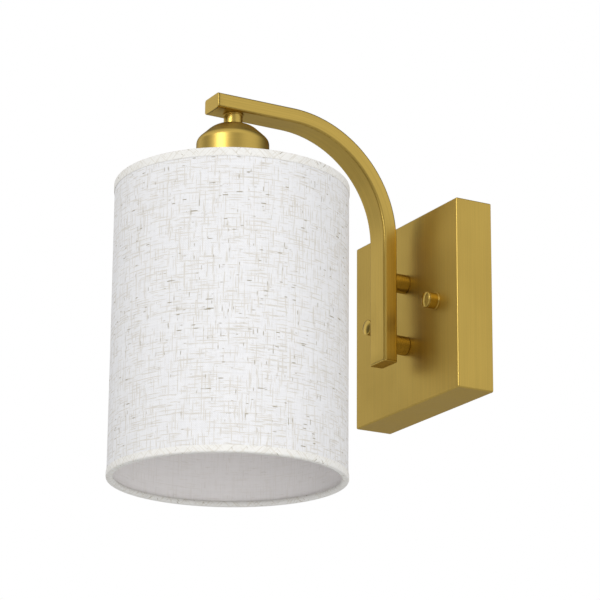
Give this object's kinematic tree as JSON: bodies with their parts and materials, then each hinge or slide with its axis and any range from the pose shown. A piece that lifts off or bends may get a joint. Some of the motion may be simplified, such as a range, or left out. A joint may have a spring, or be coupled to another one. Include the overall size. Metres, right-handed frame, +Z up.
{
  "type": "fabric shade wall light",
  "caption": "Wall light with a square brushed-brass back plate, an arched flat arm, a spun cup and a hanging linen drum shade over a screw lamp.",
  "frame": {"origin": "centre of the back plate's back, in the plane of the wall", "axes": "+Y points into the wall, +Z up, +X to the right seen from the front; the light stands out along -Y"},
  "size_m": [0.1432, 0.2196, 0.239],
  "materials": {
    "brushed_brass": "brushed satin, clear lacquered",
    "zinc_steel": "zinc plated",
    "white_wire": "white powder coat",
    "linen": "slubbed linen weave",
    "trim_tape": "bias-cut linen tape",
    "liner": "translucent styrene, matte",
    "socket_plastic": "black phenolic",
    "ring_plastic": "white moulded",
    "bare_brass": "bright stamped",
    "frosted_glass": "inside frosted",
    "lamp_metal": "rolled",
    "lamp_cement": "dark vitrite",
    "lead_black": "insulation",
    "lead_white": "insulation",
    "lead_green": "insulation",
    "connector_plastic": "moulded",
    "green_screw": "green dyed"
  },
  "bodies": {
    "wall_lamp": {"wall_strap": "zinc_steel", "canopy_studs": "zinc_steel", "canopy_stud_nuts": "zinc_steel", "backplate": "brushed_brass", "standoff_upper": "brushed_brass", "standoff_lower": "brushed_brass", "standoff_nipple": "zinc_steel", "nipple_washer": "zinc_steel", "nipple_nut": "zinc_steel", "standoff_screw": "zinc_steel", "standoff_screw_washer": "zinc_steel", "arm": "brushed_brass", "arm_end_cap": "brushed_brass", "arm_foot_cap": "brushed_brass", "arm_nipple_nuts": "zinc_steel", "arm_screw_nut": "zinc_steel", "neck_collar": "brushed_brass", "neck_nipple": "zinc_steel", "cup": "brushed_brass", "cup_washer": "zinc_steel", "cup_nut": "zinc_steel", "socket_cap": "socket_plastic", "socket_body": "socket_plastic", "socket_shell": "bare_brass", "socket_contact": "bare_brass", "socket_terminal_screws": "bare_brass", "live_lead": "lead_black", "neutral_lead": "lead_white", "wire_connectors": "connector_plastic", "ground_screw": "green_screw", "ground_eyelets": "zinc_steel", "ground_lead": "lead_green"},
    "ring_washer": {"ring_washer": "zinc_steel"},
    "lock_ring": {"lock_ring": "ring_plastic"},
    "shade": {"shade_spider": "white_wire", "shade_bottom_ring": "white_wire", "shade_liner": "liner", "shade_fabric": "linen", "shade_top_trim": "trim_tape", "shade_bottom_trim": "trim_tape"},
    "lamp_tip": {"lamp_tip": "lamp_metal"},
    "lamp": {"lamp_glass": "frosted_glass", "lamp_shell": "lamp_metal", "lamp_insulator": "lamp_cement"},
    "nut_washer_left": {"cap_nut_washer_left": "brushed_brass"},
    "nut_left": {"cap_nut_left": "brushed_brass"},
    "nut_washer_right": {"cap_nut_washer_right": "brushed_brass"},
    "nut_right": {"cap_nut_right": "brushed_brass"}
  },
  "joints": [
    {"name": "ring_travel", "type": "slide", "parent": "wall_lamp", "child": "ring_washer", "axis": [0, 0, -1], "range_m": [0, 0.0075]},
    {"name": "ring_turn", "type": "hinge", "parent": "ring_washer", "child": "lock_ring", "pos_m": [0, -0.148, 0.0546], "axis": [0, 0, -1], "range_deg": [0, 1080]},
    {"name": "shade_turn", "type": "hinge", "parent": "ring_washer", "child": "shade", "pos_m": [0, -0.148, 0.0603], "axis": [0, 0, 1], "continuous": true},
    {"name": "lamp_travel", "type": "slide", "parent": "wall_lamp", "child": "lamp_tip", "axis": [0, 0, -1], "range_m": [0, 0.02177]},
    {"name": "lamp_turn", "type": "hinge", "parent": "lamp_tip", "child": "lamp", "pos_m": [0, -0.148, 0.0576], "axis": [0, 0, -1], "range_deg": [0, 2160]},
    {"name": "left_nut_travel", "type": "slide", "parent": "wall_lamp", "child": "nut_washer_left", "axis": [0, -1, 0], "range_m": [0, 0.00556]},
    {"name": "left_nut_turn", "type": "hinge", "parent": "nut_washer_left", "child": "nut_left", "pos_m": [-0.03492, -0.029, 0], "axis": [0, -1, 0], "range_deg": [0, 2520]},
    {"name": "right_nut_travel", "type": "slide", "parent": "wall_lamp", "child": "nut_washer_right", "axis": [0, -1, 0], "range_m": [0, 0.00556]},
    {"name": "right_nut_turn", "type": "hinge", "parent": "nut_washer_right", "child": "nut_right", "pos_m": [0.03492, -0.029, 0], "axis": [0, -1, 0], "range_deg": [0, 2520]}
  ],
  "couplings": [
    {"joint": "ring_turn", "follows": "ring_travel", "rad_per_m": 2513.3},
    {"joint": "lamp_turn", "follows": "lamp_travel", "rad_per_m": 1731.6},
    {"joint": "left_nut_turn", "follows": "left_nut_travel", "rad_per_m": 7915.8},
    {"joint": "right_nut_turn", "follows": "right_nut_travel", "rad_per_m": 7915.8}
  ]
}
